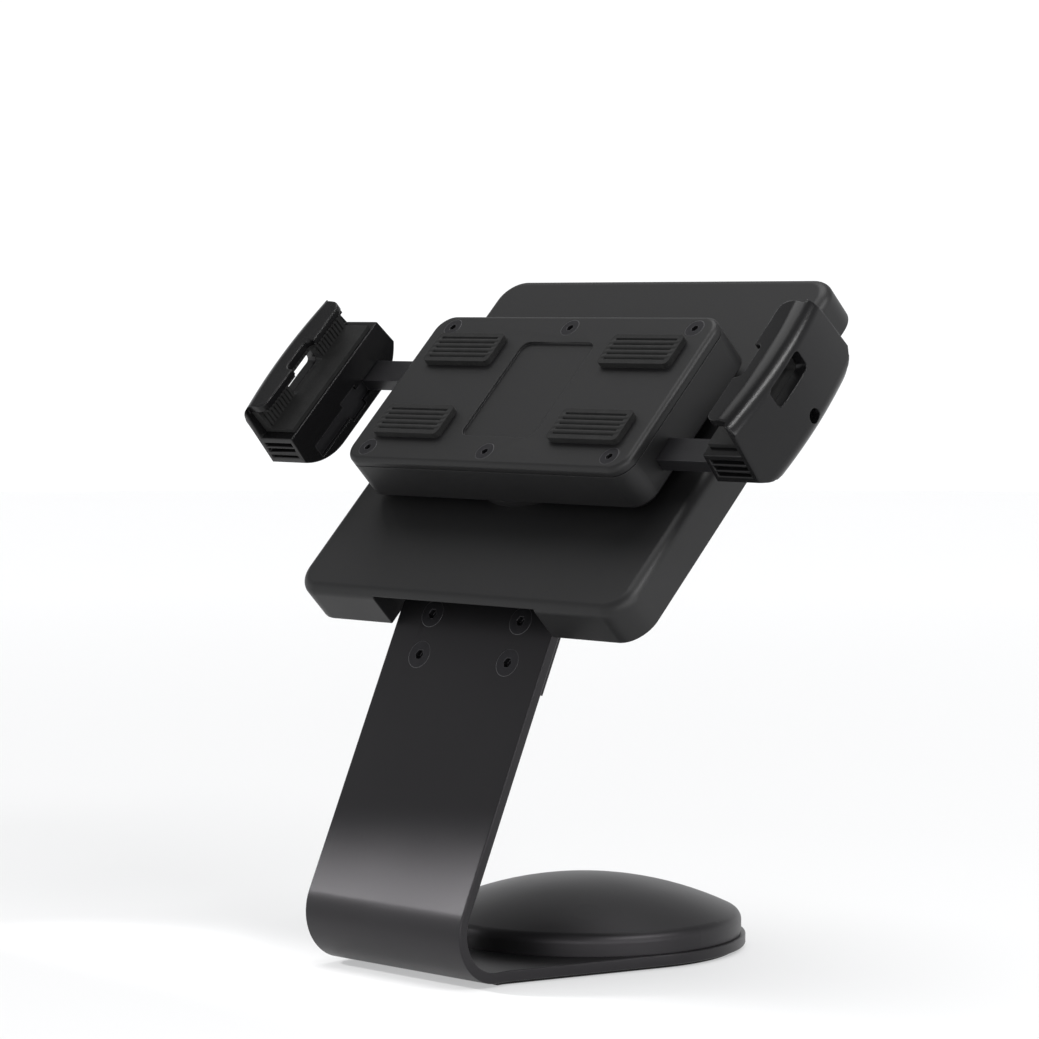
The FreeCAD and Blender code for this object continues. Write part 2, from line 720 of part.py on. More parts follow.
def make_frame_tray():
    block = plate_uvn(frame_half_u, frame_half_v, frame_corner, frame_split, frame_back)
    rim = [edge for edge in block.Edges if abs(edge.BoundBox.ZMax + frame_back) < 1e-6]
    block = block.makeChamfer(frame_edge, rim)
    inner_u = frame_half_u - frame_wall
    inner_v = frame_half_v - frame_wall
    tray = block.cut(plate_uvn(inner_u, inner_v, frame_corner - frame_wall, frame_split, frame_inside))
    posts = [rod_n(u, v, frame_split, frame_inside, frame_screw_r + post_wall).common(block)
             for u, v in frame_screw_places()]
    guides = []
    for side in (-1, 1):
        v0, v1 = sorted((side * guide_v, side * (guide_v + rail_w)))
        guides.append(box_uvn(-inner_u, inner_u, v0, v1, frame_split, frame_inside))
    tray = union([tray] + rails(arm_back + slide_gap, frame_inside) + guides + posts)
    for side in (-1, 1):
        u0, u1 = sorted((side * inner_u, side * frame_half_u))
        v0, v1 = sorted((-side * slot_v, -side * guide_v))
        tray = tray.cut(box_uvn(u0, u1, v0, v1, arm_front - slide_gap, arm_back + slide_gap))
    tray = tray.cut(rod_n(0, 0, frame_inside, frame_back, swivel_bolt_r))
    tray = tray.cut(rod_n(0, stop_ring, frame_inside, frame_back, stop_pin_r))
    for u, v in frame_screw_places():
        tray = tray.cut(rod_n(u, v, frame_split, frame_split + frame_screw_grip, frame_screw_r))
    return held(tray)


def make_frame_cover():
    sheet = plate_uvn(frame_half_u, frame_half_v, frame_corner, frame_front, frame_split)
    rim = [edge for edge in sheet.Edges if abs(edge.BoundBox.ZMin + frame_front) < 1e-6]
    sheet = sheet.makeFillet(frame_edge, rim)
    panel = plate_uvn(panel_half_u, panel_half_v, panel_corner, frame_front, frame_front + panel_depth)
    cover = union([sheet.cut(panel)] + rails(frame_split, arm_front - slide_gap))
    for u, v in frame_screw_places():
        hole = placed(sunk_hole(frame_screw_r, frame_cover_t), Placement(Vector(u, v, -frame_front), upright))
        cover = cover.cut(hole)
    return held(cover)


def make_frame_screws():
    screw = countersunk(frame_screw_r, frame_cover_t + frame_screw_grip)
    return [held(placed(screw, Placement(Vector(u, v, -frame_front), upright))) for u, v in frame_screw_places()]


def make_frame_pads():
    pads = []
    for u in (-frame_pad_u, frame_pad_u):
        for v in (-frame_pad_v, frame_pad_v):
            pads.append(held(plate_uvn(frame_pad_w / 2, frame_pad_h / 2, frame_edge, device_t, frame_front, u, v)))
    return pads


# Racks and pinion
def pinion_outline():
    """Involute teeth; one tooth points at the right arm's rack."""
    base_r = pitch_r * math.cos(math.radians(pressure))
    tip_r = pitch_r + pinion_addendum
    root_r = pitch_r - pinion_dedendum
    half_tooth = (math.pi * module / 2 - backlash / 2) / (2 * pitch_r)
    at_pitch = math.tan(math.acos(base_r / pitch_r)) - math.acos(base_r / pitch_r)

    def flank(radius):
        angle = math.acos(min(1.0, base_r / radius))
        return half_tooth + at_pitch - (math.tan(angle) - angle)

    steps = 5
    radii = [base_r + (tip_r - base_r) * k / steps for k in range(steps + 1)]
    points = []
    for tooth in range(tooth_count):
        middle = 2 * math.pi * tooth / tooth_count - math.pi / 2
        rising = [(root_r, -flank(base_r))] + [(r, -flank(r)) for r in radii]
        falling = [(r, flank(r)) for r in reversed(radii)] + [(root_r, flank(base_r))]
        for radius, angle in rising + falling:
            points.append(Vector(radius * math.cos(middle + angle), radius * math.sin(middle + angle), -pinion_back))
    return points


def make_pinion():
    wheel = prism(pinion_outline(), Vector(0, 0, pinion_t))
    return held(wheel.cut(rod_n(0, 0, pinion_front, pinion_back, pinion_pin_r + run_gap)))


def rack_edge(start, end, phase):
    """Toothed edge of an arm, from left to right, with teeth at the phase plus whole pitches."""
    pitch = math.pi * module
    slope = math.tan(math.radians(pressure))
    tip_v = -pitch_r + rack_addendum
    root_v = -pitch_r - rack_dedendum
    tip_half = pitch / 4 - backlash / 4 - rack_addendum * slope
    root_half = pitch / 4 - backlash / 4 + rack_dedendum * slope
    points = []
    first = math.ceil((start + root_half) / pitch - phase)
    last = math.floor((end - root_half) / pitch - phase)
    for k in range(first, last + 1):
        middle = (k + phase) * pitch
        points += [(middle - root_half, root_v), (middle - tip_half, tip_v),
                   (middle + tip_half, tip_v), (middle + root_half, root_v)]
    return points


def arm_blank(phase):
    """Arm in the right arm's place: rack, flat bar, cross piece and block."""
    root_v = -pitch_r - rack_dedendum
    bar_v = -pitch_r + rack_addendum
    outline = [(-arm_tail, -arm_edge), (-arm_tail, root_v)] + rack_edge(-arm_tail, rack_end, phase)
    outline += [(rack_end + module, root_v), (rack_end + 3 * module, bar_v), (tee_inner, bar_v),
                (tee_inner, arm_edge), (tee_outer, arm_edge), (tee_outer, -arm_edge)]
    return prism([Vector(u, v, -arm_back) for u, v in outline], Vector(0, 0, arm_t))


def make_arm(side):
    # a pinion with an odd number of teeth shows a gap, not a tooth, to the upper rack
    phase = 0.5 if side > 0 else 0.5 + 0.5 * (tooth_count % 2)
    arm = arm_blank(phase)
    if side < 0:
        arm.rotate(Vector(0, 0, 0), Vector(0, 0, 1), 180)
    for v in jaw_screw_levels:
        arm = arm.cut(rod_n(side * jaw_screw_u, v, arm_front, arm_back, jaw_screw_r))
    u0, u1 = sorted((side * tee_inner, side * tee_outer))
    block = box_uvn(u0, u1, lock_v - boss_half, lock_v + boss_half, arm_depth - boss_t / 2, arm_depth + boss_t / 2)
    hole_end = jaw_face - lock_recess - lock_len
    u0, u1 = sorted((side * hole_end, side * tee_outer))
    return held(union([arm, block]).cut(rod_x(u0, u1, lock_v, -arm_depth, lock_r)))


# Jaws: drawn for the right side about their own middle, moved to their height, and mirrored for the left
def jaw_block():
    """Solid body of the right jaw: slanted lip front, rounded edges, outer face bowed from top to bottom."""
    def at(u, n):
        return Vector(u, 0, -n)

    edge = jaw_lip_edge
    corner = jaw_side_corner
    slope = (lip_front - lip_front_inner) / (jaw_face - lip_reach)
    lip_at = lip_front - slope * edge
    lip_in = lip_front - slope * (jaw_face - jaw_cut)
    bow = 1 - math.sqrt(0.5)
    outer = jaw_face
    back = jaw_back
    lines = [(at(jaw_cut, -lip_in), at(outer - edge, -lip_at)),
             (at(outer, -lip_at + edge), at(outer, back - corner)),
             (at(outer - corner, back), at(jaw_cut, back)),
             (at(jaw_cut, back), at(jaw_cut, -lip_in))]
    edges = [Part.LineSegment(a, b).toShape() for a, b in lines]
    edges.append(Part.Arc(at(outer - edge, -lip_at), at(outer - bow * edge, -lip_at + bow * edge),
                          at(outer, -lip_at + edge)).toShape())
    edges.append(Part.Arc(at(outer, back - corner), at(outer - bow * corner, back - bow * corner),
                          at(outer - corner, back)).toShape())
    face = Part.Face(Part.Wire(Part.__sortEdges__(edges)))
    axis = Vector(outer - jaw_bow, 0, 0)
    inner_radius = jaw_bow - (outer - jaw_cut)
    turn = math.degrees(math.asin((jaw_half_v + cut_past) / inner_radius))
    face.rotate(axis, Vector(0, 0, 1), -turn)
    return face.revolve(axis, Vector(0, 0, 1), 2 * turn)


def jaw_side_outline():
    """Side view of a jaw: a little shorter at the lip, rounded towards the back."""
    front = -lip_front
    lean = math.asin((jaw_half_v - jaw_flat_half_v) / jaw_end_bow)
    bend_n = jaw_back - jaw_end_bow

    def at(v, n):
        return Vector(jaw_cut, v, -n)

    def on_bend(side, angle):
        return at(side * (jaw_flat_half_v + jaw_end_bow * math.sin(angle)), bend_n + jaw_end_bow * math.cos(angle))

    edges = []
    for side in (-1, 1):
        edges += [Part.LineSegment(at(side * jaw_front_half_v, front), on_bend(side, lean)).toShape(),
                  Part.Arc(on_bend(side, lean), on_bend(side, lean / 2), on_bend(side, 0)).toShape()]
    edges.append(Part.LineSegment(on_bend(-1, 0), on_bend(1, 0)).toShape())
    edges.append(Part.LineSegment(at(-jaw_front_half_v, front), at(jaw_front_half_v, front)).toShape())
    face = Part.Face(Part.Wire(Part.__sortEdges__(edges)))
    return face.extrude(Vector(jaw_face + cut_past - jaw_cut, 0, 0))


def jaw_waste():
    """What is cut from the block: the device's space, the front inside the lip, and beside the lip's ends."""
    reach = jaw_half_v + cut_past
    inner = jaw_cut - cut_past
    front = -lip_front - cut_past
    lip_half_u = (jaw_face + lip_corner - lip_reach) / 2
    lip = plate_uvn(lip_half_u, lip_half_v, lip_corner, front, -lip_pad_t, lip_reach + lip_half_u)
    beside = box_uvn(inner, wall_in, -reach, reach, front, -lip_pad_t).cut(lip)
    return [beside, box_uvn(inner, wall_in, -reach, reach, -lip_pad_t, rear_front),
            box_uvn(inner, jaw_inner, -reach, reach, rear_front, jaw_back + cut_past)]


def window_tool():
    """Rounded window through the jaw's outer wall and its liner."""
    mid_n = window_front + window_depth / 2
    face = Part.Face(rounded_outline(window_depth / 2, window_len / 2, window_corner, mid_n, window_v))
    face.rotate(Vector(0, 0, 0), Vector(0, 1, 0), 90)
    start = device_half - window_relief
    face.translate(Vector(start, 0, 0))
    return face.extrude(Vector(jaw_face + cut_past - start, 0, 0))


def notch_tool():
    """Shallow notch in the lip's inner edge."""
    return plate_uvn(notch_cut, notch_len / 2, notch_corner, -lip_front - cut_past, 0, lip_reach, notch_v)


def end_pockets():
    """Moulded pockets in the jaw's two ends, each with two ribs left standing."""
    tools = []
    step = (end_pocket_back - end_pocket_front + end_rib_t) / 3
    for side in (-1, 1):
        v0, v1 = sorted((side * (jaw_half_v - end_pocket_deep), side * (jaw_half_v + cut_past)))
        for k in range(3):
            start = end_pocket_front + k * step
            tools.append(box_uvn(jaw_inner + end_pocket_in, wall_in, v0, v1, start, start + step - end_rib_t))
    return tools


def lifted(shape):
    """Copy of a shape, moved from the jaw's own middle to its height in the holder."""
    return placed(shape, Placement(Vector(0, jaw_mid, 0), upright))


def right_jaw():
    jaw = jaw_block().common(jaw_side_outline())
    for tool in jaw_waste() + [window_tool(), notch_tool()] + end_pockets():
        jaw = jaw.cut(tool)
    jaw = lifted(jaw)
    gap = slide_gap
    slot = box_uvn(jaw_inner, tee_outer + gap, -arm_edge - gap, arm_edge + gap, arm_front - gap, arm_back + gap)
    half_t = boss_t / 2 + gap
    pocket = box_uvn(jaw_inner, tee_outer + gap, lock_v - boss_half - gap, lock_v + boss_half + gap,
                     arm_depth - half_t, arm_depth + half_t)
    jaw = jaw.cut(slot).cut(pocket)
    jaw = jaw.cut(rod_x(tee_outer, jaw_face + cut_past, lock_v, -arm_depth, lock_r))
    for v in jaw_screw_levels:
        hole = sunk_hole(jaw_screw_r, jaw_screw_len)
        jaw = jaw.cut(placed(hole, Placement(Vector(jaw_screw_u, v, -jaw_back), flipped)))
    return jaw


def right_liner():
    """Rubber liner of the right jaw: under the lip, inside the wall and on the rear part."""
    half = liner_half_v
    lip = box_uvn(lip_reach + liner_step, wall_in, -half + liner_step, half - liner_step, -lip_pad_t, 0)
    wall = box_uvn(device_half, wall_in, -half, half, -lip_pad_t, rear_front)
    rear = box_uvn(jaw_inner + liner_step, wall_in, -half, half, device_t, rear_front)
    return lifted(union([lip, wall, rear]).cut(window_tool()).cut(notch_tool()))


def right_jaw_screws():
    screw = countersunk(jaw_screw_r, jaw_screw_len)
    return [placed(screw, Placement(Vector(jaw_screw_u, v, -jaw_back), flipped)) for v in jaw_screw_levels]


def right_lock_screw():
    """Grub screw at the bottom of the small hole in the jaw's outer face."""
    end = jaw_face - lock_recess
    body = rod_x(end - lock_len, end, lock_v, -arm_depth, lock_r)
    points = [Vector(end, lock_v + a, -arm_depth + b) for a, b in hexagon(lock_socket_r)]
    return body.cut(prism(points, Vector(-lock_len / 2, 0, 0)))


def for_side(shape, side):
    """Right-hand piece as it is, or its mirror image for the left jaw."""
    return held(shape if side > 0 else shape.mirror(Vector(0, 0, 0), Vector(1, 0, 0)))


def write(name, shapes):
    """Write one sub-part; fasteners that share a node stay separate solids."""
    solids = shapes if isinstance(shapes, list) else [shapes]
    for solid in solids:
        if not solid.isValid() or solid.Volume <= 0 or len(solid.Solids) != 1:
            print("look at", name, "valid", solid.isValid(), "solids", len(solid.Solids))
    result = solids[0] if len(solids) == 1 else Part.makeCompound(solids)
    result.exportStep("parts/" + name + ".step")
    print(name, "solids", len(solids), "volume cm3", round(sum(s.Volume for s in solids) / 1000, 2))


os.makedirs("parts", exist_ok=True)
write("base_neck_plate", make_base_neck())
write("base_pad", make_base_pad())
write("base_screws", make_base_screws())
write("ballast_disc", make_ballast())
write("dome_cover", make_dome_cover())
write("hinge_block", make_hinge_block())
write("hinge_block_screws", make_block_screws())
write("tilt_bushes", make_tilt_bushes())
write("tilt_axle", make_tilt_axle())
write("tilt_friction_washers", make_tilt_washers())
write("tilt_spring_washers", make_tilt_spring_washers())
write("tilt_nut", make_tilt_nut())
write("head_tray", make_head_tray())
write("head_back_cover", make_head_cover())
write("head_cover_screws", make_head_screws())
write("swivel_bush", make_swivel_bush())
write("swivel_slide_ring", make_swivel_ring())
write("swivel_bolt", make_swivel_bolt())
write("swivel_wave_washer", make_wave_washer())
write("swivel_nut", make_swivel_nut())
write("swivel_stop_pin", make_stop_pin())
write("frame_tray", make_frame_tray())
write("frame_cover", make_frame_cover())
write("frame_cover_screws", make_frame_screws())
write("frame_pads", make_frame_pads())
write("pinion", make_pinion())
write("pinion_clip", make_pinion_clip())
for side, word in ((1, "right"), (-1, "left")):
    write("arm_" + word, make_arm(side))
    write("jaw_" + word, for_side(right_jaw(), side))
    write("jaw_liner_" + word, for_side(right_liner(), side))
    write("jaw_screws_" + word, [for_side(screw, side) for screw in right_jaw_screws()])
    write("jaw_lock_screw_" + word, for_side(right_lock_screw(), side))
print("tilt axis", pivot, "holder origin", holder_origin, "pitch radius", pitch_r)
print("depths", frame_front, frame_split, arm_front, frame_inside, frame_back, head_front, head_inside,
      pivot_depth, head_back, "jaw back", jaw_back, "channel end", channel_end, "half", channel_half)
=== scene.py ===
import bmesh
import bpy
import math
from mathutils import Matrix, Vector


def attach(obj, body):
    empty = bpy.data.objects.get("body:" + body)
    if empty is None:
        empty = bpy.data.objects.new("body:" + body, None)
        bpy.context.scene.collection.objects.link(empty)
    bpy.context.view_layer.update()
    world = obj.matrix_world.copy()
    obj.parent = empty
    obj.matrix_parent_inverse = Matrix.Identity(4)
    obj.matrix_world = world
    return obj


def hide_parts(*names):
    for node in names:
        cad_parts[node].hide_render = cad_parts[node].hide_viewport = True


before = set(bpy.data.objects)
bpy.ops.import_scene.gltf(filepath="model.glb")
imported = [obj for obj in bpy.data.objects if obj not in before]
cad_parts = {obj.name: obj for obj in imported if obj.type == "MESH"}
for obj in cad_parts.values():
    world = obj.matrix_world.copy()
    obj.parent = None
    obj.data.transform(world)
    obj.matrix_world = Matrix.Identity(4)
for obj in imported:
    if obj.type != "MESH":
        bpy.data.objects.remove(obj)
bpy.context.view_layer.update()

# Counter stand with a clamping holder. Sizes are in millimetres, angles in degrees and powers in watts,
# unless a note says otherwise.
mm = 0.001
print("frame loaded:", len(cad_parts), "nodes")


def addObject(name, data):
    thing = bpy.data.objects.new(name, data)
    bpy.context.scene.collection.objects.link(thing)
    return thing


def pieceFrom(form, name):
    mesh = bpy.data.meshes.new(name)
    form.to_mesh(mesh)
    form.free()
    return addObject(name, mesh)


# Camera
cameraView = {
    "place": (713.4, -746.9, 179.0),
    "turn": 44.7,      # to the left of straight back
    "lookDown": 3.29,
    "lens": 128.25,
    "sensor": 36.0,    # width of the picture behind the lens
    "nearest": 50,     # nothing nearer or farther than these is drawn
    "farthest": 50000,
}


def makeCamera(view):
    data = bpy.data.cameras.new("photoCamera")
    data.lens = view["lens"]
    data.sensor_width = view["sensor"]
    data.clip_start = view["nearest"] * mm
    data.clip_end = view["farthest"] * mm
    camera = addObject("photoCamera", data)
    camera.location = Vector(view["place"]) * mm
    camera.rotation_euler = (math.radians(90 - view["lookDown"]), 0, math.radians(view["turn"]))
    bpy.context.scene.camera = camera


makeCamera(cameraView)
print("camera placed")


# Materials. Each one is built from these few steps, on object coordinates in metres.
def addNode(owner, kind, values=None):
    node = owner.node_tree.nodes.new("ShaderNode" + kind)
    for socket, value in (values or {}).items():
        node.inputs[socket].default_value = value
    return node


def join(owner, source, target):
    owner.node_tree.links.new(source, target)


def startMaterial(name):
    material = bpy.data.materials.new(name)
    material.use_nodes = True
    material.node_tree.nodes.clear()
    output = addNode(material, "OutputMaterial")
    shader = addNode(material, "BsdfPrincipled")
    join(material, shader.outputs["BSDF"], output.inputs["Surface"])
    coords = addNode(material, "TexCoord")
    return material, shader, coords.outputs["Object"]


def turned(material, vector, degrees=(0, 0, 0), stretch=(1, 1, 1)):
    node = addNode(material, "Mapping", {"Rotation": [math.radians(d) for d in degrees], "Scale": stretch})
    join(material, vector, node.inputs["Vector"])
    return node.outputs["Vector"]


def noise(material, vector, grain, detail=3.0, rough=0.55):  # grain is the size of the pattern's features
    node = addNode(material, "TexNoise", {"Scale": 1 / (grain * mm), "Detail": detail, "Roughness": rough})
    join(material, vector, node.inputs["Vector"])
    return node.outputs["Fac"]


def cells(material, vector, grain):
    node = addNode(material, "TexVoronoi")
    node.feature = "SMOOTH_F1"
    node.inputs["Scale"].default_value = 1 / (grain * mm)
    join(material, vector, node.inputs["Vector"])
    return node.outputs["Distance"]


def between(material, fac, low, high, fromLow=0.25, fromHigh=0.75):  # low where fac is fromLow, and so on
    node = addNode(material, "MapRange",
                   {"From Min": fromLow, "From Max": fromHigh, "To Min": low, "To Max": high})
    join(material, fac, node.inputs["Value"])
    return node.outputs["Result"]


def mixed(material, fac, first, second):
    node = addNode(material, "Mix")
    node.data_type = "RGBA"
    join(material, fac, node.inputs["Factor"])
    for value, socket in ((first, node.inputs["A"]), (second, node.inputs["B"])):
        if isinstance(value, tuple):
            socket.default_value = (*value, 1.0)
        else:
            join(material, value, socket)
    return node.outputs["Result"]


def added(material, first, second, share):  # first + share * second
    node = addNode(material, "Math")
    node.operation = "MULTIPLY_ADD"
    node.inputs[1].default_value = share
    join(material, second, node.inputs[0])
    join(material, first, node.inputs[2])
    return node.outputs["Value"]


def measured(material, operation, first, second=None):  # one number from one or two vectors
    node = addNode(material, "VectorMath")
    node.operation = operation
    join(material, first, node.inputs[0])
    if second:
        join(material, second, node.inputs[1])
    return node.outputs["Value"]


def bumped(material, height, depth, normal=None):  # depth is the rise where the height goes from 0 to 1
    node = addNode(material, "Bump", {"Distance": depth * mm})
    join(material, height, node.inputs["Height"])
    if normal:
        join(material, normal, node.inputs["Normal"])
    return node.outputs["Normal"]


def roundedEdges(material, radius):
    node = addNode(material, "Bevel", {"Radius": radius * mm})
    node.samples = 4
    return node.outputs["Normal"]


def edgeMask(material, radius):  # 1 on edges that hands rub, 0 on flat places; on the powder coat it also carries a painted highlight along the edges
    geometry = addNode(material, "NewGeometry")
    turn = measured(material, "DOT_PRODUCT", roundedEdges(material, radius), geometry.outputs["Normal"])
    return between(material, turn, 1.0, 0.0, fromLow=0.82, fromHigh=0.995)


def grey(value, tint=0.0):  # a tint over 0 is towards blue
    return (value * (1 - tint / 2), value * (1 - tint), value * (1 + tint))


def clouded(material, fac, finish):  # the finish's colour, between its dark and its light share
    dark, light = [grey(finish["colour"] * share, tint) for share, tint in (finish["dark"], finish["light"])]
    return mixed(material, fac, dark, light)


def colourWithWearAndHighlightEdges(material, wearAndHighlightMask, base, finish):  # the colour with its lighter edges: wear, and on the powder coat also a painted highlight
    share = between(material, wearAndHighlightMask, 0.0, finish["wearAndHighlightShare"], fromLow=0.0, fromHigh=1.0)
    return mixed(material, share, base, grey(*finish["wearAndHighlightColour"]))


# Studio: a white table in a white room, with soft lamps
table = {
    "radius": 2600,
    "sides": 128,
    "colour": 0.42,
    "cloud": 260,              # size of the faint clouds in its colour
    "cloudShade": 0.99,        # share of the colour in their dark parts
    "rough": 0.9,
    "gloss": 0.1,
    "glowColour": (0.985, 0.99, 1.0, 1.0),
    "glow": (0.43, 0.55),      # it glows by itself, with no lamp under it: painted light that lightens the shadows around the stand, a little more near its rim
    "glowReach": (250, 1300),  # distances from its middle between which the glow grows
}

room = {
    "airColour": (0.985, 0.99, 1.0, 1.0),
    "horizon": 1.08,           # brightness at table height
    "ceiling": 0.34,
    "fade": (0.12, 0.62),      # sines of the heights between which the room darkens
}

softboxes = {
    # name: place, point that it faces, width, height, watts, angle that its grid lets through
    "overRight": ((950, -25, 845), (0, -20, 110), 110, 800, 8.2, 180),
    "lowRight": ((1100, -180, 125), (0, 0, 125), 1000, 220, 3.6, 180),
    "besideNeck": ((-211, -230, 173), (0, -81, -5), 170, 20, 0.0262, 14),
    "besideCamera": ((800, -900, 160), (0, 0, 10), 560, 280, 1.9, 180),
}

ceilingLight = {
    "strength": 1.8,
    "size": 50,                # angle across it, seen from the table
    "lean": (-4, -9, 0),       # off straight down
    "height": 1500,
}


def studioWhite(table):
    material, shader, place = startMaterial("studioWhite")
    fac = noise(material, place, table["cloud"], detail=2.0)
    white = mixed(material, fac, grey(table["colour"] * table["cloudShade"]), grey(table["colour"]))
    join(material, white, shader.inputs["Base Color"])
    shader.inputs["Roughness"].default_value = table["rough"]
    shader.inputs["Specular IOR Level"].default_value = table["gloss"]
    shader.inputs["Emission Color"].default_value = table["glowColour"]
    nearEnd, farEnd = table["glowReach"]
    # painted light: the table's own glow, which lightens the shadows on it and grows towards its rim
    distance = measured(material, "LENGTH", place)
    glow = between(material, distance, *table["glow"], fromLow=nearEnd * mm, fromHigh=farEnd * mm)
    join(material, glow, shader.inputs["Emission Strength"])
    return material


def makeTable(table):
    form = bmesh.new()
    bmesh.ops.create_circle(form, cap_ends=True, segments=table["sides"], radius=table["radius"] * mm)
    form.normal_update()
    turnedDown = [face for face in form.faces if face.normal.z < 0]
    bmesh.ops.reverse_faces(form, faces=turnedDown)
    top = pieceFrom(form, "studioTable")
    top.data.materials.append(studioWhite(table))


def facing(place, target):  # the lamp's width runs along the stand's width
    back = (place - target).normalized()
    across = (Vector((1, 0, 0)) - back * back.x).normalized()
    return Matrix((across, back.cross(across), back)).transposed().to_euler()


def makeSoftbox(name, place, target, width, height, power, spread):
    data = bpy.data.lights.new(name, "AREA")
    data.shape = "RECTANGLE"
    data.size = width * mm
    data.size_y = height * mm
    data.energy = power
    data.spread = math.radians(spread)
    lamp = addObject(name, data)
    lamp.location = Vector(place) * mm
    lamp.rotation_euler = facing(Vector(place), Vector(target))
    lamp.visible_camera = False


def makeCeilingLight(setting):
    data = bpy.data.lights.new("ceilingLight", "SUN")
    data.energy = setting["strength"]
    data.angle = math.radians(setting["size"])
    lamp = addObject("ceilingLight", data)
    lamp.location = (0, 0, setting["height"] * mm)
    lamp.rotation_euler = [math.radians(angle) for angle in setting["lean"]]


def lightTheRoom(room):
    world = bpy.data.worlds.new("studioAir")
    world.use_nodes = True
    background = world.node_tree.nodes["Background"]
    background.inputs["Color"].default_value = room["airColour"]
    direction = addNode(world, "TexCoord")
    parts = addNode(world, "SeparateXYZ")
    start, end = room["fade"]
    fade = addNode(world, "MapRange",
                   {"From Min": start, "From Max": end, "To Min": room["horizon"], "To Max": room["ceiling"]})
    fade.interpolation_type = "SMOOTHSTEP"
    join(world, direction.outputs["Generated"], parts.inputs["Vector"])
    join(world, parts.outputs["Z"], fade.inputs["Value"])
    join(world, fade.outputs["Result"], background.inputs["Strength"])
    bpy.context.scene.world = world
    bpy.context.scene.view_settings.view_transform = "Standard"


makeTable(table)
for boxName, setting in softboxes.items():
    makeSoftbox(boxName, *setting)
makeCeilingLight(ceilingLight)
lightTheRoom(room)
print("studio lit")


# Finishes. "dark" and "light" give the share of the colour, and its tint, in the dark and light parts of its
# pattern. The edge values are for edges that hands rub; on the powder coat their lighter colour is also a
# painted highlight.
powderFinish = {
    "colour": 0.0045,
    "dark": (0.86, 0.03),
    "light": (1.14, 0.05),
    "cloud": 24,                 # size of the clouds in colour and gloss
    # the lighter edges are wear, and also a painted highlight along the plate's edges
    "wearAndHighlightEdge": 0.8,
    "wearAndHighlightShare": 0.35,
    "wearAndHighlightColour": (0.02, 0.03),
    "rough": (0.32, 0.38),
    "fleckRough": 0.06,
    "peel": 1.1,                 # size and depth of the orange peel
    "peelDepth": 0.006,
    "fleck": 0.32,               # size and depth of the powder's grain
    "fleckDepth": 0.0035,
    "edge": 0.35,
    "gloss": 0.31,
    "tint": (1.0, 0.955, 1.015, 1.0),  # its reflections are a trace less green than grey
}


def powderCoat(finish):
    material, shader, place = startMaterial("powderCoat")
    peel = noise(material, place, finish["peel"], detail=2.0)
    fleck = cells(material, place, finish["fleck"])
    cloud = noise(material, place, finish["cloud"])
    # lighter edges: wear, and a painted highlight along the plate's edges
    wearAndHighlightMask = edgeMask(material, finish["wearAndHighlightEdge"])
    colour = colourWithWearAndHighlightEdges(material, wearAndHighlightMask, clouded(material, cloud, finish), finish)
    join(material, colour, shader.inputs["Base Color"])
    rough = added(material, between(material, cloud, *finish["rough"]), fleck, finish["fleckRough"])
    join(material, rough, shader.inputs["Roughness"])
    normal = bumped(material, peel, finish["peelDepth"], roundedEdges(material, finish["edge"]))
    join(material, bumped(material, fleck, finish["fleckDepth"], normal), shader.inputs["Normal"])
    shader.inputs["Specular IOR Level"].default_value = finish["gloss"]
    shader.inputs["Specular Tint"].default_value = finish["tint"]
    return material


mouldedFinish = {
    "colour": 0.0045,
    "dark": (0.88, 0.02),
    "light": (1.15, 0.05),
    "flow": 9,                   # size of the flow marks, which run across the stand
    "flowTurn": (45, 0, 0),
    "flowStretch": (0.35, 1, 1),
    "cloud": 31,
    "wearAndHighlightEdge": 0.7,
    "wearAndHighlightShare": 0.3,
    "wearAndHighlightColour": (0.014, 0.03),
    "wornRough": -0.07,          # added to the roughness on rubbed edges
    "spark": 0.38,               # size and depth of the grain that the mould leaves
    "sparkDepth": 0.006,
    "sparkRough": 0.05,
    "edge": 0.35,
    "tint": (1.0, 1.0, 1.0, 1.0),
}

mouldedKinds = {
    # material: roughness in its smooth and rough clouds, gloss, tint of its reflections
    "jawPlastic": ((0.2, 0.24), 0.21, mouldedFinish["tint"]),
    "domePlastic": ((0.35, 0.4), 0.33, powderFinish["tint"]),
    "housingPlastic": ((0.42, 0.48), 0.36, mouldedFinish["tint"]),
}


def mouldedPlastic(name, finish, roughness, gloss, tint):
    material, shader, place = startMaterial(name)
    spark = noise(material, place, finish["spark"], rough=0.6)
    along = turned(material, place, finish["flowTurn"], finish["flowStretch"])
    flow = noise(material, along, finish["flow"])
    cloud = noise(material, place, finish["cloud"], detail=2.0)
    wearAndHighlightMask = edgeMask(material, finish["wearAndHighlightEdge"])
    colour = colourWithWearAndHighlightEdges(material, wearAndHighlightMask, clouded(material, flow, finish), finish)
    join(material, colour, shader.inputs["Base Color"])
    rough = added(material, between(material, cloud, *roughness), spark, finish["sparkRough"])
    join(material, added(material, rough, wearAndHighlightMask, finish["wornRough"]), shader.inputs["Roughness"])
    normal = bumped(material, spark, finish["sparkDepth"], roundedEdges(material, finish["edge"]))
    join(material, normal, shader.inputs["Normal"])
    shader.inputs["Specular IOR Level"].default_value = gloss
    shader.inputs["Specular Tint"].default_value = tint
    return material


rubberFinish = {
    "colour": 0.005,
    "dark": (1.0, 0.0),
    "light": (2.1, 0.0),         # where dust lies
    "dust": 3.5,                 # size of the dusty places
    "dustLevels": (0.45, 0.8),   # levels of the pattern where dust begins and is full
    "rough": (0.66, 0.82),
    "speck": 0.5,
    "speckDepth": 0.012,
    "edge": 0.15,
    "gloss": 0.25,
    "sheen": 0.04,
    "sheenRough": 0.45,
}


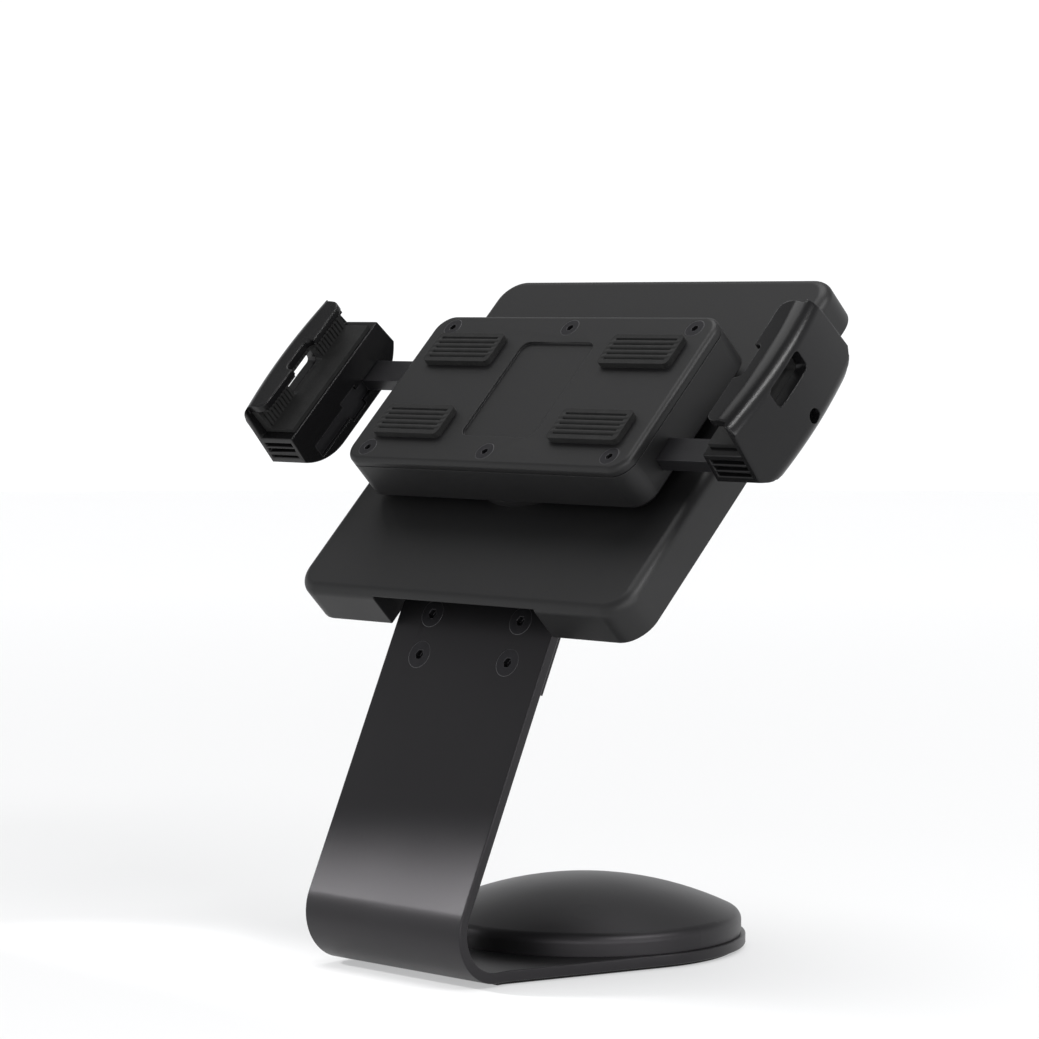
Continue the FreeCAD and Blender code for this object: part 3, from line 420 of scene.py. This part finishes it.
def softRubber(finish):
    material, shader, place = startMaterial("softRubber")
    speck = noise(material, place, finish["speck"], detail=4.0, rough=0.65)
    dust = noise(material, place, finish["dust"], detail=4.0, rough=0.7)
    dusty = between(material, dust, 0.0, 1.0, *finish["dustLevels"])
    join(material, clouded(material, dusty, finish), shader.inputs["Base Color"])
    join(material, between(material, speck, *finish["rough"]), shader.inputs["Roughness"])
    normal = bumped(material, speck, finish["speckDepth"], roundedEdges(material, finish["edge"]))
    join(material, normal, shader.inputs["Normal"])
    shader.inputs["Specular IOR Level"].default_value = finish["gloss"]
    shader.inputs["Sheen Weight"].default_value = finish["sheen"]
    shader.inputs["Sheen Roughness"].default_value = finish["sheenRough"]
    return material


steelFinish = {
    "colour": 0.52,
    "dark": (0.86, 0.02),
    "light": (1.06, 0.01),
    "stain": 4.5,
    "scratch": 0.22,
    "scratchStretch": (0.06, 1, 1),
    "scratchDepth": 0.006,
    "scratchRough": 0.14,
    "rough": (0.2, 0.3),
    "edge": 0.2,
    "metal": 1.0,
}


def brightSteel(finish):
    material, shader, place = startMaterial("brightSteel")
    along = turned(material, place, stretch=finish["scratchStretch"])
    brushed = noise(material, along, finish["scratch"], rough=0.6)
    stain = noise(material, place, finish["stain"])
    join(material, clouded(material, stain, finish), shader.inputs["Base Color"])
    rough = added(material, between(material, stain, *finish["rough"]), brushed, finish["scratchRough"])
    join(material, rough, shader.inputs["Roughness"])
    normal = bumped(material, brushed, finish["scratchDepth"], roundedEdges(material, finish["edge"]))
    join(material, normal, shader.inputs["Normal"])
    shader.inputs["Metallic"].default_value = finish["metal"]
    return material


oxideFinish = {
    "colour": 0.028,
    "dark": (0.8, 0.04),
    "light": (1.25, 0.06),
    "cloud": 2.5,
    "wearAndHighlightEdge": 0.35,
    "wearAndHighlightShare": 0.55,
    "wearAndHighlightColour": (0.16, 0.02),
    "rough": (0.3, 0.46),
    "grain": 0.3,
    "grainDepth": 0.005,
    "edge": 0.15,
    "metal": 0.85,
}


def blackOxide(finish):
    material, shader, place = startMaterial("blackOxide")
    grain = noise(material, place, finish["grain"], rough=0.6)
    wearAndHighlightMask = edgeMask(material, finish["wearAndHighlightEdge"])
    cloud = noise(material, place, finish["cloud"])
    colour = colourWithWearAndHighlightEdges(material, wearAndHighlightMask, clouded(material, cloud, finish), finish)
    join(material, colour, shader.inputs["Base Color"])
    join(material, between(material, grain, *finish["rough"]), shader.inputs["Roughness"])
    normal = bumped(material, grain, finish["grainDepth"], roundedEdges(material, finish["edge"]))
    join(material, normal, shader.inputs["Normal"])
    shader.inputs["Metallic"].default_value = finish["metal"]
    return material


ironFinish = {
    "colour": 0.085,
    "dark": (0.75, -0.03),
    "light": (1.3, -0.05),
    "cloud": 11,
    "rough": (0.5, 0.72),
    "sand": 0.9,
    "sandDepth": 0.09,
    "edge": 0.5,
    "metal": 0.8,
}


def castIron(finish):
    material, shader, place = startMaterial("castIron")
    sand = noise(material, place, finish["sand"], detail=5.0, rough=0.65)
    cloud = noise(material, place, finish["cloud"])
    join(material, clouded(material, cloud, finish), shader.inputs["Base Color"])
    join(material, between(material, sand, *finish["rough"]), shader.inputs["Roughness"])
    normal = bumped(material, sand, finish["sandDepth"], roundedEdges(material, finish["edge"]))
    join(material, normal, shader.inputs["Normal"])
    shader.inputs["Metallic"].default_value = finish["metal"]
    return material


barFinish = {
    "colour": 0.018,
    "dark": (0.85, 0.04),
    "light": (1.2, 0.06),
    "wearAndHighlightEdge": 0.3,
    "wearAndHighlightShare": 0.5,
    "wearAndHighlightColour": (0.12, 0.02),
    "rough": (0.3, 0.4),
    "drawn": 0.35,               # size of the marks along the bar
    "drawnStretch": (0.03, 1, 1),
    "drawnDepth": 0.008,
    "blast": 0.25,
    "blastRough": 0.06,
    "edge": 0.2,
    "metal": 0.55,
}


def anodisedBar(finish):
    material, shader, place = startMaterial("anodisedBar")
    along = turned(material, place, stretch=finish["drawnStretch"])
    drawn = noise(material, along, finish["drawn"], detail=2.0, rough=0.6)
    blast = noise(material, place, finish["blast"], detail=2.0)
    wearAndHighlightMask = edgeMask(material, finish["wearAndHighlightEdge"])
    colour = colourWithWearAndHighlightEdges(material, wearAndHighlightMask, clouded(material, drawn, finish), finish)
    join(material, colour, shader.inputs["Base Color"])
    rough = added(material, between(material, drawn, *finish["rough"]), blast, finish["blastRough"])
    join(material, rough, shader.inputs["Roughness"])
    normal = bumped(material, drawn, finish["drawnDepth"], roundedEdges(material, finish["edge"]))
    join(material, normal, shader.inputs["Normal"])
    shader.inputs["Metallic"].default_value = finish["metal"]
    return material


acetalFinish = {
    "darkColour": (0.74, 0.72, 0.66),
    "lightColour": (0.82, 0.8, 0.75),
    "haze": 5,
    "rough": (0.34, 0.44),
    "turning": 0.35,             # size and depth of the marks of the lathe
    "turningDepth": 0.006,
    "edge": 0.2,
    "depthShare": 0.15,          # light that goes into the plastic, and how far its colours reach
    "depthReach": (2.0, 2.0, 1.8),
}


def acetal(finish):
    material, shader, place = startMaterial("acetal")
    haze = noise(material, place, finish["haze"])
    turning = noise(material, place, finish["turning"], detail=2.0)
    colour = mixed(material, haze, finish["darkColour"], finish["lightColour"])
    join(material, colour, shader.inputs["Base Color"])
    join(material, between(material, haze, *finish["rough"]), shader.inputs["Roughness"])
    normal = bumped(material, turning, finish["turningDepth"], roundedEdges(material, finish["edge"]))
    join(material, normal, shader.inputs["Normal"])
    shader.inputs["Subsurface Weight"].default_value = finish["depthShare"]
    shader.inputs["Subsurface Radius"].default_value = [reach * mm for reach in finish["depthReach"]]
    return material


coat = powderCoat(powderFinish)
plastics = {name: mouldedPlastic(name, mouldedFinish, *values) for name, values in mouldedKinds.items()}
rubber = softRubber(rubberFinish)
steel = brightSteel(steelFinish)
oxide = blackOxide(oxideFinish)
iron = castIron(ironFinish)
bar = anodisedBar(barFinish)
paleBearing = acetal(acetalFinish)

finishes = {
    coat: ("base_neck_plate", "hinge_block"),
    plastics["domePlastic"]: ("dome_cover",),
    plastics["housingPlastic"]: ("head_tray", "head_back_cover", "frame_tray", "frame_cover",
                                 "swivel_slide_ring"),
    plastics["jawPlastic"]: ("jaw_right", "jaw_left"),
    rubber: ("base_pad", "frame_pads", "jaw_liner_right", "jaw_liner_left"),
    steel: ("tilt_axle", "tilt_friction_washers", "tilt_nut", "tilt_spring_washers", "pinion_clip",
            "swivel_bolt", "swivel_nut", "swivel_stop_pin", "swivel_wave_washer"),
    oxide: ("base_screws", "hinge_block_screws", "head_cover_screws", "frame_cover_screws",
            "jaw_screws_right", "jaw_screws_left", "jaw_lock_screw_right", "jaw_lock_screw_left"),
    iron: ("ballast_disc",),
    bar: ("arm_right", "arm_left"),
    paleBearing: ("pinion", "swivel_bush", "tilt_bushes"),
}

for finish, names in finishes.items():
    for nodeName in names:
        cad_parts[nodeName].material_slots[0].material = finish
print("finishes given to", sum(len(names) for names in finishes.values()), "nodes")


# Copies of the frame's own shapes, to be dressed and shown in their place
copying = {
    "joined": 0.004,        # corners nearer than this become one
    "flat": 0.4,            # faces that turn less than this become one
    "sharp": 35,            # edges that turn more than this stay sharp
}


def copiedForm(nodeName):
    form = bmesh.new()
    form.from_mesh(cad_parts[nodeName].data)
    bmesh.ops.remove_doubles(form, verts=form.verts, dist=copying["joined"] * mm)
    flat = math.radians(copying["flat"])
    bmesh.ops.dissolve_limit(form, angle_limit=flat, verts=form.verts, edges=form.edges)
    return form


def finished(form, name, nodeName, body, finish):
    for face in form.faces:
        face.smooth = True
    piece = pieceFrom(form, name)
    piece.data.set_sharp_from_angle(angle=math.radians(copying["sharp"]))
    piece.data.materials.append(finish)
    normals = piece.modifiers.new("flatFaces", "WEIGHTED_NORMAL")
    normals.keep_sharp = True
    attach(piece, body)
    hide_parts(nodeName)


# Pieces with soft moulded or bent edges
softPieces = {
    # node: body, slot, finish, width of the edge rounding
    "jaw_right": ("right_jaw", "black_plastic", plastics["jawPlastic"], 0.3),
    "jaw_left": ("left_jaw", "black_plastic", plastics["jawPlastic"], 0.3),
    "head_tray": ("head", "black_plastic", plastics["housingPlastic"], 0.25),
    "frame_cover": ("frame", "black_plastic", plastics["housingPlastic"], 0.35),
    "base_neck_plate": ("base", "powder_coated_steel", coat, 0.4),
}

softCorners = {
    "turn": 32,             # edges that turn more than this are rounded,
    "room": 3.5,            # if both faces reach this many widths from them
    "steps": 2,
    "roundness": 0.5,
}


def roomBeside(edge):  # how far the narrower of an edge's two faces reaches from it
    start = edge.verts[0].co
    along = (edge.verts[1].co - start).normalized()
    reach = []
    for face in edge.link_faces:
        offsets = [vert.co - start for vert in face.verts]
        reach.append(max((offset - along * offset.dot(along)).length for offset in offsets))
    return min(reach)


def edgesToRound(form, width):
    least = math.radians(softCorners["turn"])
    corners = [edge for edge in form.edges if len(edge.link_faces) == 2 and edge.calc_face_angle() > least]
    return [edge for edge in corners if roomBeside(edge) > softCorners["room"] * width * mm]


for nodeName, (body, slotName, finish, width) in softPieces.items():
    form = copiedForm(nodeName)
    bmesh.ops.bevel(form, geom=edgesToRound(form, width), offset=width * mm, offset_type="OFFSET",
                    segments=softCorners["steps"], profile=softCorners["roundness"], affect="EDGES",
                    clamp_overlap=False, material=-1)
    finished(form, nodeName + "_soft", nodeName, body, finish)
print("soft edges on", len(softPieces), "pieces")


# Rubber grips with grooves across the faces that hold the device
holder = {
    "middle": Vector((0, -28.44, 162.16)),  # of the held device's front
    "across": Vector((1, 0, 0)),
    "up": Vector((0, 1, 1)).normalized(),
    "front": Vector((0, -1, 1)).normalized(),
}

padGroove = {
    "nearest": 10.4,        # middle of each pad's groove nearest to the holder's middle, up or down
    "pitch": 1.8,
    "count": 5,
    "width": 0.8,
    "depth": 0.45,
    "ends": (22.8, 45.2),   # distances from the holder's middle, across, between which the grooves run
}

linerGroove = {
    "lowest": -18.6,
    "pitch": 1.4,
    "count": 29,
    "width": 0.6,
    "depth": 0.4,
    "ends": (85, 95),
}

grooveCut = {
    "slope": 0.08,          # a groove is this much narrower at its bottom, on each side
    "facing": 0.95,         # cosine of how far a grooved face may turn away
    "snap": 0.001,          # corners nearer than this to a cut lie on it
}

# How far up the holder each groove's middle is
padGrooves = [side * (padGroove["nearest"] + padGroove["pitch"] * step)
              for side in (-1, 1) for step in range(padGroove["count"])]
linerGrooves = [linerGroove["lowest"] + linerGroove["pitch"] * step for step in range(linerGroove["count"])]

grips = {
    # node: body, way that the grooved face looks, grooves, their sizes
    "frame_pads": ("frame", holder["front"], padGrooves, padGroove),
    "jaw_liner_right": ("right_jaw", -holder["across"], linerGrooves, linerGroove),
    "jaw_liner_left": ("left_jaw", holder["across"], linerGrooves, linerGroove),
}


def cutAcross(form, axis, distance):
    everything = form.verts[:] + form.edges[:] + form.faces[:]
    bmesh.ops.bisect_plane(form, geom=everything, dist=grooveCut["snap"] * mm,
                           plane_co=(holder["middle"] + axis * distance) * mm, plane_no=axis)


def isGroove(face, way, grooves, sizes):
    offset = face.calc_center_median() / mm - holder["middle"]
    nearEnd, farEnd = sizes["ends"]
    insideEnds = nearEnd < abs(offset.dot(holder["across"])) < farEnd
    onGroove = any(abs(offset.dot(holder["up"]) - middle) < sizes["width"] / 2 for middle in grooves)
    return face.normal.dot(way) > grooveCut["facing"] and insideEnds and onGroove


for nodeName, (body, way, grooves, sizes) in grips.items():
    form = copiedForm(nodeName)
    for middle in grooves:
        cutAcross(form, holder["up"], middle - sizes["width"] / 2)
        cutAcross(form, holder["up"], middle + sizes["width"] / 2)
    for end in sizes["ends"]:
        cutAcross(form, holder["across"], end)
        cutAcross(form, holder["across"], -end)
    sunk = [face for face in form.faces if isGroove(face, way, grooves, sizes)]
    bmesh.ops.inset_region(form, faces=sunk, thickness=grooveCut["slope"] * mm,
                           depth=-sizes["depth"] * mm, use_even_offset=True)
    finished(form, nodeName + "_grooved", nodeName, body, rubber)
print("grooves cut in", len(grips), "grips")
